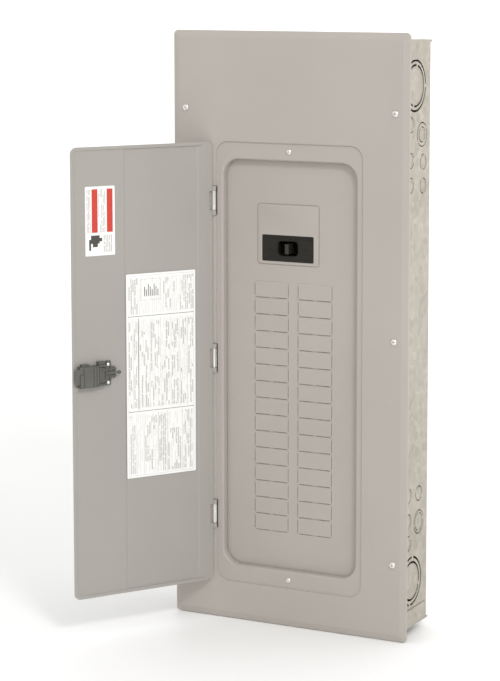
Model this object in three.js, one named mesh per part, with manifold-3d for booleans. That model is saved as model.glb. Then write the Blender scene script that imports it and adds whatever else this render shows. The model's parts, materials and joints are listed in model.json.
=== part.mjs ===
// A flush or surface mounted load centre: a galvanised box, a painted cover
// with a dished dead front and a hinged door, and the busbar interior behind it.
// Millimetres, +Z up. The origin is the middle of the box's back face, +Y goes
// into the wall and the front faces -Y.
import * as THREE from 'three';
import { mergeVertices } from 'three/addons/utils/BufferGeometryUtils.js';
import Module from 'manifold-3d';

const wasm = await Module();
wasm.setup();

// ---- driving dimensions ----------------------------------------------------
const PITCH = 25.4;                 // one branch space
const ROWS = 15;
const GAP = 0.3;                    // air left between pieces that touch

const BOX = { w: 363.5, h: 870, d: 98.6, sheet: 1.5, flange: 18.5, wrap: 28 };
const COVER = { w: 386.5, h: 893.4, sheet: 1.2, lip: 6, bevel: 10.8, bevelDrop: 2.8 };
const FRONT = -(BOX.d + COVER.lip);  // plane of the cover's face
const DISH_Z = -53;                  // middle of the door, its seat and the dish
const SEAT = { w: 242, h: 671, r: 20, drop: 2.2 };
const DISH = { w: 219.5, h: 618, r: 25, drop: 14 };
const DEAD = { w: 236, h: 656, r: 8, sheet: 1.2 };
const DEAD_Y = FRONT + DISH.drop;    // face of the dead front

const HINGE = { x: -123.5, y: FRONT - 0.9, pinR: 2, pinLength: 43 };
const HINGE_Z = [193, -46, -286];
const HINGE_WINDOW = { w: 10, half: 24 };
const BRACKET = { length: 28, leaf: 27, top: 2.2, leafSheet: 1.2 };
const DOOR = { length: 238, h: 669, sheet: 1.2, r: 10, edge: 3.5, open: 122 };
const DOOR_OUT = HINGE.y - DOOR.sheet / 2;
const DOOR_IN = HINGE.y + DOOR.sheet / 2;

const LATCH_Z = -53;
const TAB = { w: 56.2, h: 23.6, top: 74.2, rise: 0.5, columns: [-34.3, 37.7] };
const BREAKER = { x: -6.5, w: 99, z0: 91, z1: 201, y0: -28, y1: -88.6 };
const SURROUND = { w: 99.5, h: 88.3, r: 3.5, z: 145.65, rise: 1 };
const WINDOW = { x: -7, w: 85.4, z0: 105.2, z1: 144.7 };
const HANDLE = { x: -7, y: -68, z: 125, width: 17, reach: 29, hubR: 7 };
const LUG = { left: -32, right: 19, pocket: 12, screwZ: 20 };

const COVER_SCREW_X = 171.5;
const COVER_SCREW_Z = [331, 0, -331];
const KEYHOLE = { x: 130, z: 330 };
const DEAD_SCREW_Z = [DISH_Z + 323, DISH_Z - 323];

// ---- materials -------------------------------------------------------------
function finish(color, roughness, metalness) {
  return new THREE.MeshStandardMaterial({ color, roughness, metalness });
}

const paint = finish(0xbab4ac, 0.5, 0.1);
const galvanised = finish(0xb9b6a8, 0.45, 0.8);
const zinc = finish(0xd8d6cf, 0.25, 0.95);
const aluminium = finish(0xc4c6c8, 0.35, 0.9);
const blackPlastic = finish(0x2e2c2a, 0.4, 0.0);
const greyPlastic = finish(0x5b5c57, 0.5, 0.0);
const paper = finish(0xf4f3ee, 0.8, 0.0);
const greenSteel = finish(0x2f7d4a, 0.5, 0.3);

// ---- solids ----------------------------------------------------------------
function solid(geometry) {
  geometry.deleteAttribute('normal');
  geometry.deleteAttribute('uv');
  const merged = mergeVertices(geometry, 1e-4);
  return new wasm.Manifold(new wasm.Mesh({
    numProp: 3,
    vertProperties: new Float32Array(merged.attributes.position.array),
    triVerts: new Uint32Array(merged.index.array),
  }));
}

function box(x0, x1, y0, y1, z0, z1) {
  const geometry = new THREE.BoxGeometry(x1 - x0, y1 - y0, z1 - z0);
  geometry.translate((x0 + x1) / 2, (y0 + y1) / 2, (z0 + z1) / 2);
  return solid(geometry);
}

// A cylinder along Y, from y0 to y1.
function barY(x, z, r, y0, y1, sides = 12) {
  const geometry = new THREE.CylinderGeometry(r, r, y1 - y0, sides);
  geometry.translate(x, (y0 + y1) / 2, z);
  return solid(geometry);
}

// A cylinder along Z, from z0 to z1.
function barZ(x, y, r, z0, z1, sides = 12) {
  const geometry = new THREE.CylinderGeometry(r, r, z1 - z0, sides);
  geometry.rotateX(Math.PI / 2);
  geometry.translate(x, y, (z0 + z1) / 2);
  return solid(geometry);
}

// A cylinder along X, from x0 to x1.
function barX(y, z, r, x0, x1, sides = 12) {
  const geometry = new THREE.CylinderGeometry(r, r, x1 - x0, sides);
  geometry.rotateZ(Math.PI / 2);
  geometry.translate((x0 + x1) / 2, y, z);
  return solid(geometry);
}

// An outline of [x, y] points drawn up from z0 to z1.
function prismZ(points, z0, z1) {
  const shape = new THREE.Shape(points.map(([x, y]) => new THREE.Vector2(x, y)));
  const geometry = new THREE.ExtrudeGeometry(shape, { depth: z1 - z0, bevelEnabled: false });
  geometry.translate(0, 0, z0);
  return solid(geometry);
}

// An outline of [x, z] points drawn from y0 to y1.
function prismY(points, y0, y1) {
  const shape = new THREE.Shape(points.map(([x, z]) => new THREE.Vector2(x, z)));
  const geometry = new THREE.ExtrudeGeometry(shape, { depth: y1 - y0, bevelEnabled: false });
  geometry.rotateX(Math.PI / 2);
  geometry.translate(0, y1, 0);
  return solid(geometry);
}

// [x, z] points of a rounded rectangle, the same number whatever its radius.
function roundedRect(w, h, r, cx, cz, steps = 5) {
  const points = [];
  const corners = [[1, -1, -90], [1, 1, 0], [-1, 1, 90], [-1, -1, 180]];
  for (const [sx, sz, start] of corners) {
    for (let i = 0; i <= steps; i += 1) {
      const angle = THREE.MathUtils.degToRad(start + (90 * i) / steps);
      const x = cx + sx * (w / 2 - r) + r * Math.cos(angle);
      const z = cz + sz * (h / 2 - r) + r * Math.sin(angle);
      points.push([x, z]);
    }
  }
  return points;
}

function roundedPlate(w, h, r, cx, cz, y0, y1, steps = 5) {
  return prismY(roundedRect(w, h, r, cx, cz, steps), y0, y1);
}

// A pressed frame: rounded rectangles, each at its own y, joined in order and
// back to the first, so the list is the section of the sheet right round.
function pressedFrame(loops) {
  const rings = loops.map((l) => roundedRect(l.w, l.h, l.r, 0, l.z).map(([x, z]) => [x, l.y, z]));
  const count = rings[0].length;
  const positions = rings.flat(2);
  const index = [];
  for (let a = 0; a < rings.length; a += 1) {
    const b = (a + 1) % rings.length;
    for (let i = 0; i < count; i += 1) {
      const j = (i + 1) % count;
      index.push(a * count + i, a * count + j, b * count + j);
      index.push(a * count + i, b * count + j, b * count + i);
    }
  }
  const geometry = new THREE.BufferGeometry();
  geometry.setAttribute('position', new THREE.Float32BufferAttribute(positions, 3));
  geometry.setIndex(index);
  return solid(geometry);
}

function join(...parts) {
  return parts.reduce((whole, part) => whole.add(part));
}

function cut(body, ...tools) {
  return tools.reduce((rest, tool) => rest.subtract(tool), body);
}

// ---- the assembly ----------------------------------------------------------
const assembly = new THREE.Group();

function addNode(name, body, material, parent = assembly) {
  const mesh = body.getMesh();
  const geometry = new THREE.BufferGeometry();
  geometry.setAttribute('position', new THREE.Float32BufferAttribute(mesh.vertProperties, 3));
  geometry.setIndex(new THREE.Uint32BufferAttribute(mesh.triVerts, 1));
  const node = new THREE.Mesh(geometry, material);
  node.name = name;
  parent.add(node);
  return node;
}

// A pan head screw driven along +Y, its head's seat at y.
function screw(x, y, z, r, length, headR, sides = 10) {
  const headHeight = headR * 0.55;
  const head = barY(x, z, headR, y - headHeight * 0.6, y, sides);
  const crown = barY(x, z, headR * 0.72, y - headHeight, y - headHeight * 0.5, sides);
  const shank = barY(x, z, r, y - 0.2, y + length, 8);
  const half = headR * 0.6;
  const slot = box(x - half, x + half, y - headHeight - 1, y - headHeight * 0.6, z - 0.6, z + 0.6);
  return cut(join(head, crown, shank), slot);
}

// ---- box -------------------------------------------------------------------
// Knockouts: [distance in front of the back face, height, radius].
const SIDE_KNOCKOUTS = [
  [30.8, 297.3, 17.5],
  [26, 256.8, 11.1],
  [26, 221.8, 11.1],
  [71.5, 313, 11.1],
  [71.5, 261.3, 11.1],
  [71.5, 225.3, 11.1],
  [71.6, -233.7, 11.1],
  [71.6, -272.7, 11.1],
  [32.6, -237, 11.1],
  [32.8, -280, 17.5],
];
const SIDE_RINGS = [[56.6, 369.3, 37.5], [58.6, -364.9, 36.5]];
const END_KNOCKOUTS = [-140, -104, 104, 140];
const KNOCKOUT_DEPTH = 0.5;
const RING_WIDTH = 6;

// Shallow knockout discs and rings, pressed into a side wall from outside.
function sideKnockouts(side) {
  const outer = (side * BOX.w) / 2;
  const x0 = side > 0 ? outer - KNOCKOUT_DEPTH : outer - 1;
  const x1 = side > 0 ? outer + 1 : outer + KNOCKOUT_DEPTH;
  const discs = SIDE_KNOCKOUTS.map(([y, z, r]) => barX(-y, z, r, x0, x1, 16));
  const rings = SIDE_RINGS.map(([y, z, r]) => cut(
    barX(-y, z, r, x0, x1, 24),
    barX(-y, z, r - RING_WIDTH, x0 - 1, x1 + 1, 24),
  ));
  return [...discs, ...rings];
}

function keyhole(x, z) {
  return join(barY(x, z, 6, -5, 1, 12), box(x - 3, x + 3, -5, 1, z, z + 13));
}

function buildBoxWrap() {
  const hw = BOX.w / 2;
  const t = BOX.sheet;
  const hz = BOX.h / 2 - t - GAP;
  const lip = hw - BOX.flange;
  const section = [
    [-hw, -BOX.d], [-lip, -BOX.d], [-lip, -BOX.d + t], [-hw + t, -BOX.d + t],
    [-hw + t, -t], [hw - t, -t], [hw - t, -BOX.d + t], [lip, -BOX.d + t],
    [lip, -BOX.d], [hw, -BOX.d], [hw, 0], [-hw, 0],
  ];
  const holes = [];
  for (const side of [-1, 1]) {
    for (const z of COVER_SCREW_Z) {
      holes.push(barY(side * COVER_SCREW_X, z, 3, -BOX.d - 1, -BOX.d + 4, 10));
    }
    for (const end of [-1, 1]) holes.push(keyhole(side * KEYHOLE.x, end * KEYHOLE.z));
    holes.push(...sideKnockouts(side));
  }
  return cut(prismZ(section, -hz, hz), ...holes);
}

// An end wall: a plate with a flange down each side wall, one behind the cover
// and one up the back inside the box.
function buildEndWall(end) {
  const t = BOX.sheet;
  const outer = BOX.h / 2;
  const hw = BOX.w / 2 + t + GAP;
  const at = (z0, z1) => (end > 0 ? [z0, z1] : [-z1, -z0]);
  const slab = (x0, x1, y0, y1, z0, z1) => box(x0, x1, y0, y1, ...at(z0, z1));
  const body = join(
    slab(-hw, hw, -BOX.d, 0, outer - t, outer),
    slab(hw - t, hw, -BOX.d, 0, outer - BOX.wrap, outer),
    slab(-hw, -hw + t, -BOX.d, 0, outer - BOX.wrap, outer),
    slab(-hw + BOX.flange + 4, hw - BOX.flange - 4, -BOX.d, -BOX.d + t, outer - BOX.flange, outer),
    slab(-hw + 6, hw - 6, -2 * t - GAP, -t - GAP, outer - BOX.flange, outer),
  );
  const z = end * outer;
  const tools = END_KNOCKOUTS.map((x) => barZ(x, -62, 14, z - KNOCKOUT_DEPTH, z + KNOCKOUT_DEPTH, 16));
  tools.push(cut(
    barZ(0, -56, 36, z - KNOCKOUT_DEPTH, z + KNOCKOUT_DEPTH, 24),
    barZ(0, -56, 36 - RING_WIDTH, z - 2, z + 2, 24),
  ));
  return cut(body, ...tools);
}

addNode('box_wrap', buildBoxWrap(), galvanised);
addNode('top_end_wall', buildEndWall(1), galvanised);
addNode('bottom_end_wall', buildEndWall(-1), galvanised);

// ---- cover -----------------------------------------------------------------
function buildCoverTrim() {
  const t = COVER.sheet;
  const face = { w: COVER.w - 2 * COVER.bevel, h: COVER.h - 2 * COVER.bevel };
  const grown = (base, by, y) => ({
    w: base.w + 2 * by, h: base.h + 2 * by, r: base.r + by, z: base.z, y,
  });
  const rim = { w: COVER.w, h: COVER.h, r: 7, z: 0 };
  const plane = { ...face, r: 3, z: 0 };
  const seat = { ...SEAT, z: DISH_Z };
  const dish = { ...DISH, z: DISH_Z };
  const floor = FRONT + SEAT.drop;
  const foot = DEAD_Y - 0.4;
  const trim = pressedFrame([
    grown(rim, 0, -BOX.d),
    grown(rim, 0, FRONT + COVER.bevelDrop),
    grown(plane, 0, FRONT),
    grown(seat, 0, FRONT),
    grown(seat, -0.9, floor),
    grown(dish, 1.5, floor),
    grown(dish, 0, floor + 1.5),
    grown(dish, 0, foot),
    grown(dish, t, foot),
    grown(dish, t, floor + t + 0.6),
    grown(dish, 1.8, floor + t),
    grown(seat, 0.3, floor + t),
    grown(seat, 1.2, FRONT + t),
    grown(plane, -0.3, FRONT + t),
    grown(rim, -t, FRONT + COVER.bevelDrop + 0.9),
    grown(rim, -t, -BOX.d),
  ]);
  const tools = [];
  for (const z of COVER_SCREW_Z) {
    for (const side of [-1, 1]) {
      tools.push(barY(side * COVER_SCREW_X, z, 3.2, FRONT - 1, FRONT + 4, 10));
    }
  }
  for (const z of DEAD_SCREW_Z) tools.push(barY(0, z, 3, FRONT - 1, FRONT + 8, 10));
  for (const z of HINGE_Z) {
    const [hw, hz] = [HINGE_WINDOW.w / 2, HINGE_WINDOW.half];
    tools.push(box(HINGE.x - hw, HINGE.x + hw, FRONT - 1, FRONT + 8, z - hz, z + hz));
  }
  const strikeX = DISH.w / 2;
  tools.push(box(strikeX - 3, strikeX + 6, FRONT + 4.4, FRONT + 9.7, LATCH_Z - 12.5, LATCH_Z + 12.5));
  return cut(trim, ...tools);
}

function buildDeadFront() {
  const back = DEAD_Y + DEAD.sheet;
  const parts = [roundedPlate(DEAD.w, DEAD.h, DEAD.r, 0, DISH_Z, DEAD_Y, back)];
  const raised = [DEAD_Y - SURROUND.rise, DEAD_Y + 0.5];
  parts.push(roundedPlate(SURROUND.w, SURROUND.h, SURROUND.r, BREAKER.x, SURROUND.z, ...raised, 3));
  for (const x of TAB.columns) {
    for (let row = 0; row < ROWS; row += 1) {
      const z = TAB.top - PITCH * row;
      const y = [DEAD_Y - TAB.rise, DEAD_Y + 0.5];
      parts.push(box(x - TAB.w / 2, x + TAB.w / 2, ...y, z - TAB.h, z));
    }
  }
  const { x, w, z0, z1 } = WINDOW;
  const window = box(x - w / 2, x + w / 2, DEAD_Y - 3, back + 1, z0, z1);
  const holes = DEAD_SCREW_Z.map((z) => barY(0, z, 2.6, DEAD_Y - 1, back + 1, 10));
  return cut(join(...parts), window, ...holes);
}

addNode('cover_trim', buildCoverTrim(), paint);
addNode('dead_front', buildDeadFront(), paint);

let coverScrew = 0;
for (const side of [-1, 1]) {
  for (const z of COVER_SCREW_Z) {
    coverScrew += 1;
    const body = screw(side * COVER_SCREW_X, FRONT - GAP, z, 2.4, 12, 5);
    addNode(`cover_screw_${coverScrew}`, body, zinc);
  }
}
DEAD_SCREW_Z.forEach((z, i) => {
  const body = screw(0, FRONT + SEAT.drop - GAP, z, 2.2, 16, 4.2);
  addNode(`dead_front_screw_${i + 1}`, body, zinc);
});

// ---- hinges ----------------------------------------------------------------
// A welded leaf behind the cover, with a saddle that holds the pin from behind.
function buildHingeBracket(z) {
  const half = BRACKET.length / 2;
  const outer = HINGE.pinR + GAP + 1;
  const saddle = cut(
    barZ(HINGE.x, HINGE.y, outer, z - half, z + half, 16),
    barZ(HINGE.x, HINGE.y, HINGE.pinR + GAP, z - half - 1, z + half + 1, 16),
    box(HINGE.x - 6, HINGE.x + 6, HINGE.y - 6, HINGE.y + 0.4, z - half - 1, z + half + 1),
  );
  const top = FRONT + BRACKET.top;
  const leaf = box(
    HINGE.x - BRACKET.leaf, HINGE.x + 2, top, top + BRACKET.leafSheet, z - half, z + half,
  );
  return join(saddle, leaf);
}

HINGE_Z.forEach((z, i) => {
  const half = HINGE.pinLength / 2;
  addNode(`hinge_bracket_${i + 1}`, buildHingeBracket(z), zinc);
  addNode(`hinge_pin_${i + 1}`, barZ(HINGE.x, HINGE.y, HINGE.pinR, z - half, z + half, 12), zinc);
});

// ---- door, drawn shut and then swung open on its pins ----------------------
const doorFrame = new THREE.Group();
doorFrame.position.set(HINGE.x, HINGE.y, 0);
doorFrame.rotation.z = THREE.MathUtils.degToRad(-DOOR.open);
assembly.add(doorFrame);

const shutDoor = new THREE.Group();
shutDoor.position.set(-HINGE.x, -HINGE.y, 0);
doorFrame.add(shutDoor);

// x of a place on the door, by its distance from the hinge pins.
const onDoor = (distance) => HINGE.x + distance;

// The door's sheet: its middle band is pressed outward between two creases.
function buildDoorSheet() {
  const step = 0.7;
  const [a, b] = [28, 151];
  const surface = (y) => [
    [DOOR.edge, y], [a, y], [a + 1, y - step], [b, y - step], [b + 1, y], [DOOR.length, y],
  ];
  const outside = surface(DOOR_OUT).map(([s, y]) => [onDoor(s), y]);
  const inside = surface(DOOR_IN).map(([s, y]) => [onDoor(s), y]).reverse();
  const half = DOOR.h / 2;
  const sheet = prismZ([...outside, ...inside], DISH_Z - half, DISH_Z + half);
  const outline = roundedPlate(
    DOOR.length - DOOR.edge, DOOR.h, DOOR.r,
    onDoor((DOOR.length + DOOR.edge) / 2), DISH_Z, DOOR_OUT - 3, DOOR_IN + 3,
  );
  return sheet.intersect(outline);
}

// The folded hem along the free edge, the top and the bottom.
function buildDoorHem() {
  const width = 5;
  const from = 16;
  const cx = onDoor((DOOR.length + from) / 2);
  const y = [DOOR_IN - 0.4, DOOR_IN + 1];
  const whole = roundedPlate(DOOR.length - from, DOOR.h, DOOR.r, cx, DISH_Z, ...y);
  const inner = roundedPlate(
    DOOR.length - from, DOOR.h - 2 * width, DOOR.r - width,
    cx - width, DISH_Z, y[0] - 1, y[1] + 1,
  );
  const hingeEnd = box(onDoor(from) - 1, onDoor(from + 4), y[0] - 1, y[1] + 1, -500, 500);
  return cut(whole, inner, hingeEnd);
}

function buildDoorPanel() {
  const knuckleR = HINGE.pinR + GAP + DOOR.sheet;
  const [near, far] = [BRACKET.length / 2 + 0.8, HINGE.pinLength / 2 + 0.5];
  let door = join(buildDoorSheet(), buildDoorHem());
  for (const z of HINGE_Z) {
    const clear = box(onDoor(0), onDoor(8), DOOR_OUT - 2, DOOR_IN + 2, z - near, z + near);
    door = door.subtract(clear);
    for (const side of [-1, 1]) {
      const [z0, z1] = side > 0 ? [z + near, z + far] : [z - far, z - near];
      const knuckle = barZ(HINGE.x, HINGE.y, knuckleR, z0, z1, 14);
      const web = box(onDoor(2), onDoor(DOOR.edge + 1), DOOR_OUT, DOOR_IN, z0, z1);
      door = join(door, knuckle, web);
    }
    door = door.subtract(barZ(HINGE.x, HINGE.y, HINGE.pinR + GAP, z - 30, z + 30, 14));
  }
  const hole = box(
    onDoor(204), onDoor(228), DOOR_OUT - 3, DOOR_IN + 3, LATCH_Z - 13, LATCH_Z + 13,
  );
  return cut(door, hole);
}

// A block on the inside of the door: distances from the pins, height above the
// latch's middle, depth behind the door's inner face.
function latchBlock(s0, s1, z0, z1, d0, d1) {
  return box(onDoor(s0), onDoor(s1), DOOR_IN + d0, DOOR_IN + d1, LATCH_Z + z0, LATCH_Z + z1);
}

function buildLatchHousing() {
  const out = DOOR_OUT - DOOR_IN;
  const block = latchBlock(200, 230, -16.5, 16.5, GAP, 11.5);
  const tail = latchBlock(187, 201, -16.5, 16.5, GAP, 10.3);
  const shoulder = latchBlock(187.5, 199, 15, 20, GAP, 7);
  const neck = latchBlock(204.4, 227.6, -12.6, 12.6, out - 1, 2);
  const bezel = latchBlock(201, 231, -16.5, 16.5, out - 1.8, out - GAP);
  const channel = latchBlock(180, 240, -11.6, 11.6, 5, 9.5);
  const fingerWell = latchBlock(206, 225, -9.5, 9.5, out - 3, 6);
  return cut(join(block, tail, shoulder, neck, bezel), channel, fingerWell);
}

function buildLatchSlider() {
  const out = DOOR_OUT - DOOR_IN;
  const plate = latchBlock(190, 236.5, -11.3, 11.3, 5.3, 9.2);
  const ramp = prismZ([
    [onDoor(230.8), DOOR_IN + 9.6], [onDoor(237), DOOR_IN + 6.6], [onDoor(237), DOOR_IN + 9.6],
  ], LATCH_Z - 15, LATCH_Z + 15);
  const stem = latchBlock(163, 192, 0.4, 3.6, 5.6, 8.6);
  const grip = latchBlock(214, 218, -8, 8, out - 1.2, 6);
  return join(cut(plate, ramp), stem, grip);
}

// A flat cross-shaped spring under the slider's stem.
function buildLatchSpring() {
  const outline = [
    [178, -3], [181.5, -7.5], [177.5, -16.5], [184, -16.5], [186.4, -9],
    [186.4, 11], [184, 19.5], [177.5, 19.5], [181.5, 9.5], [178, 5],
  ].map(([s, z]) => [onDoor(s), LATCH_Z + z]);
  const plate = prismY(outline, DOOR_IN + GAP, DOOR_IN + 3.6);
  const hole = (z) => barY(onDoor(181.6), LATCH_Z + z, 1.5, DOOR_IN - 1, DOOR_IN + 5, 8);
  return cut(plate, hole(14.5), hole(-12.5));
}

function buildLatchScrew(z) {
  const seat = DOOR_IN + 3.6 + GAP;
  const head = barY(onDoor(181.6), LATCH_Z + z, 2.6, seat, seat + 1.4, 10);
  const shank = barY(onDoor(181.6), LATCH_Z + z, 1.2, DOOR_IN + GAP, seat + 0.5, 8);
  return join(head, shank);
}

function buildDoorLabel(s0, s1, z0, z1) {
  return box(onDoor(s0), onDoor(s1), DOOR_IN + GAP, DOOR_IN + GAP + 0.25, z0, z1);
}

addNode('door_panel', buildDoorPanel(), paint, shutDoor);
addNode('latch_housing', buildLatchHousing(), greyPlastic, shutDoor);
addNode('latch_spring', buildLatchSpring(), greyPlastic, shutDoor);
addNode('latch_screw_1', buildLatchScrew(14.5), zinc, shutDoor);
addNode('latch_screw_2', buildLatchScrew(-12.5), zinc, shutDoor);
addNode('circuit_directory_label', buildDoorLabel(33.5, 149.5, -214.7, 91.3), paper, shutDoor);
addNode('notice_label', buildDoorLabel(167, 215, 122.3, 223.8), paper, shutDoor);
addNode('latch_slider', buildLatchSlider(), greyPlastic, shutDoor);

// ---- interior pan and busbars ----------------------------------------------
const PAN = { w: 190, z0: -345, z1: 235, rise: 15, foot: 14, sheet: 1.5 };
const BAR_Z = [-309, 188];
const BUS = { near: 6, far: 24, y0: -27.4, y1: -22.9, stab: 26 };

function buildInteriorPan() {
  const back = -BOX.sheet - GAP;
  const hw = PAN.w / 2;
  const t = PAN.sheet;
  const inner = hw - PAN.foot;
  const section = [
    [-hw, back], [-hw, back - t], [-inner - t, back - t], [-inner - t, back - PAN.rise],
    [inner + t, back - PAN.rise], [inner + t, back - t], [hw, back - t], [hw, back],
    [inner, back], [inner, back - PAN.rise + t], [-inner, back - PAN.rise + t], [-inner, back],
  ];
  const holes = [];
  for (const [x, z] of panScrewPlaces()) holes.push(barY(x, z, 2.6, back - 5, back + 1, 8));
  return cut(prismZ(section.reverse(), PAN.z0, PAN.z1), ...holes);
}

function panScrewPlaces() {
  const x = PAN.w / 2 - 6;
  return [[-x, 215], [x, 215], [-x, -325], [x, -325]];
}

// One leg: a flat bar with a stab at every other branch space, reaching across
// the middle so that the two legs' stabs make one column.
function buildBusBar(side) {
  const [z0, z1] = BAR_Z;
  const xs = side > 0 ? [BUS.near, BUS.far] : [-BUS.far, -BUS.near];
  const parts = [box(...xs, BUS.y0, BUS.y1, z0, z1)];
  const first = side > 0 ? 0 : 1;
  for (let row = first; row < ROWS; row += 2) {
    const z = TAB.top - PITCH * (row + 0.5);
    const foot = side > 0 ? [-3, BUS.far] : [-BUS.far, 3];
    parts.push(box(...foot, BUS.y0 - 3, BUS.y0 + 0.5, z - 8, z + 8));
    parts.push(box(-2, 2, BUS.y0 - BUS.stab, BUS.y0 - 2, z - 8, z + 8));
  }
  return join(...parts);
}

function buildBusInsulator() {
  const back = -BOX.sheet - GAP - PAN.rise - GAP;
  const plate = box(-60, 60, back - 3, back, PAN.z0 + 15, PAN.z1 - 12);
  const ribs = [-30, 27].map((x) => box(x, x + 3, BUS.y1 - 5, back - 1, BAR_Z[0], 84));
  return join(plate, ...ribs);
}

// A bent rail that the branch breakers hook on to.
function buildBreakerRail(side) {
  const back = -BOX.sheet - GAP - PAN.rise - GAP;
  const x = 66;
  const section = [
    [x, back], [x + 11, back], [x + 11, back - 20], [x + 4, back - 20],
    [x + 4, back - 18.5], [x + 9.5, back - 18.5], [x + 9.5, back - 1.5], [x, back - 1.5],
  ].map(([u, y]) => [side * u, y]);
  const ordered = side > 0 ? section : section.reverse();
  return prismZ(ordered.reverse(), BAR_Z[0], TAB.top);
}

addNode('interior_pan', buildInteriorPan(), galvanised);
panScrewPlaces().forEach(([x, z], i) => {
  const seat = -BOX.sheet - GAP - PAN.sheet - GAP;
  const shank = PAN.sheet + GAP - 0.1;
  addNode(`pan_screw_${i + 1}`, screw(x, seat, z, 2.2, shank, 4.5, 8), zinc);
});
addNode('bus_insulator', buildBusInsulator(), blackPlastic);
addNode('bus_bar_left', buildBusBar(-1), aluminium);
addNode('bus_bar_right', buildBusBar(1), aluminium);
addNode('breaker_rail_left', buildBreakerRail(-1), galvanised);
addNode('breaker_rail_right', buildBreakerRail(1), galvanised);

// ---- main breaker ----------------------------------------------------------
function buildBreakerCase() {
  const { x, w, z0, z1, y0, y1 } = BREAKER;
  const nose = { clear: 0.8, front: DEAD_Y - 0.9 };
  const body = box(x - w / 2, x + w / 2, y1, y0, z0, z1);
  const front = box(
    WINDOW.x - WINDOW.w / 2 + nose.clear, WINDOW.x + WINDOW.w / 2 - nose.clear,
    nose.front, y1 + 1, WINDOW.z0 + nose.clear, WINDOW.z1 - nose.clear,
  );
  const slot = box(
    HANDLE.x - 17, HANDLE.x + 17, nose.front - 1, HANDLE.y + HANDLE.hubR + 2,
    HANDLE.z - HANDLE.width / 2 - 2, HANDLE.z + HANDLE.width / 2 + 2,
  );
  const pocket = (lx) => box(lx - 13, lx + 13, -60, -27, z1 - LUG.pocket, z1 + 1);
  const lugPockets = [LUG.left, LUG.right].map(pocket);
  return cut(join(body, front), slot, ...lugPockets);
}

// The throw lever: a hub on a vertical pivot and a tapered finger.
function buildBreakerHandle() {
  const half = HANDLE.width / 2;
  const tip = HANDLE.y - HANDLE.reach;
  const finger = prismZ([
    [HANDLE.x - 5, HANDLE.y], [HANDLE.x - 3.5, tip + 1], [HANDLE.x - 2.5, tip],
    [HANDLE.x + 2.5, tip], [HANDLE.x + 3.5, tip + 1], [HANDLE.x + 5, HANDLE.y],
  ], HANDLE.z - half, HANDLE.z + half);
  const hub = barZ(HANDLE.x, HANDLE.y, HANDLE.hubR, HANDLE.z - half, HANDLE.z + half, 14);
  return join(hub, finger);
}

function buildMainLug(x) {
  const z0 = BREAKER.z1 - LUG.pocket + GAP;
  const body = box(x - 12, x + 12, -56, -30, z0, z0 + 30);
  const bore = barZ(x, -41, 8, z0 - 1, z0 + 31, 14);
  const tapped = barY(x, z0 + LUG.screwZ, 5.2, -57, -42, 10);
  return cut(body, bore, tapped);
}

addNode('main_breaker_case', buildBreakerCase(), blackPlastic);
addNode('main_breaker_handle', buildBreakerHandle(), blackPlastic);
['left', 'right'].forEach((side) => {
  const x = LUG[side];
  const z = BREAKER.z1 - LUG.pocket + GAP + LUG.screwZ;
  addNode(`main_lug_${side}`, buildMainLug(x), aluminium);
  addNode(`main_lug_screw_${side}`, barY(x, z, 4.8, -62, -48, 10), zinc);
});

// ---- neutral and ground ----------------------------------------------------
const NEUTRAL = { x: 124, w: 12, y0: -44, y1: -34, z0: -310, z1: 10, pitch: 15.5 };
const GROUND = { x: 156, w: 12, y0: -15, y1: -4, z0: -395, z1: -250, pitch: 14.5 };
const GROUND_SCREW_Z = [GROUND.z0 + 6, GROUND.z1 - 6];
const FIRST_TERMINAL = 16;

// A terminal bar with one screw hole for each wire.
function buildTerminalBar(bar, x) {
  const body = box(x - bar.w / 2, x + bar.w / 2, bar.y0, bar.y1, bar.z0, bar.z1);
  const holes = [];
  for (let z = bar.z0 + FIRST_TERMINAL; z < bar.z1 - 12; z += bar.pitch) {
    holes.push(barY(x, z, 2.8, bar.y0 - 1, bar.y0 + 5, 8));
  }
  return cut(body, ...holes);
}

function buildGroundBar() {
  const holes = GROUND_SCREW_Z.map((z) => barY(GROUND.x, z, 2.3, GROUND.y0 - 1, GROUND.y1 + 1, 8));
  return cut(buildTerminalBar(GROUND, GROUND.x), ...holes);
}

function buildNeutralSupport(x, z) {
  const back = -BOX.sheet - GAP;
  return box(x - 10, x + 10, NEUTRAL.y1 + GAP, back, z - 9, z + 9);
}

function buildNeutralStrap() {
  const hx = NEUTRAL.x + 5;
  const [y0, y1] = [NEUTRAL.y1 + GAP, NEUTRAL.y1 + GAP + 3];
  const strap = box(-hx, hx, y0, y1, NEUTRAL.z0 - 22, NEUTRAL.z0 - 4);
  const tabs = [-1, 1].map((side) => {
    const x = side * NEUTRAL.x;
    return box(x - 5, x + 5, y0, y1, NEUTRAL.z0 - 5, NEUTRAL.z0 + 14);
  });
  return join(strap, ...tabs);
}

addNode('neutral_bar_left', buildTerminalBar(NEUTRAL, -NEUTRAL.x), aluminium);
addNode('neutral_bar_right', buildTerminalBar(NEUTRAL, NEUTRAL.x), aluminium);
addNode('neutral_strap', buildNeutralStrap(), aluminium);
let support = 0;
for (const side of [-1, 1]) {
  for (const z of [-250, -30]) {
    support += 1;
    addNode(`neutral_support_${support}`, buildNeutralSupport(side * NEUTRAL.x, z), blackPlastic);
  }
}

function buildNeutralLug() {
  const [x, z] = [NEUTRAL.x, NEUTRAL.z1 + GAP];
  const body = box(x - 12, x + 12, NEUTRAL.y0 - 10, NEUTRAL.y1, z, z + 30);
  const bore = barZ(x, -42, 8, z - 1, z + 31, 14);
  const tapped = barY(x, z + 17, 5.2, NEUTRAL.y0 - 12, -44, 10);
  return cut(body, bore, tapped);
}

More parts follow.
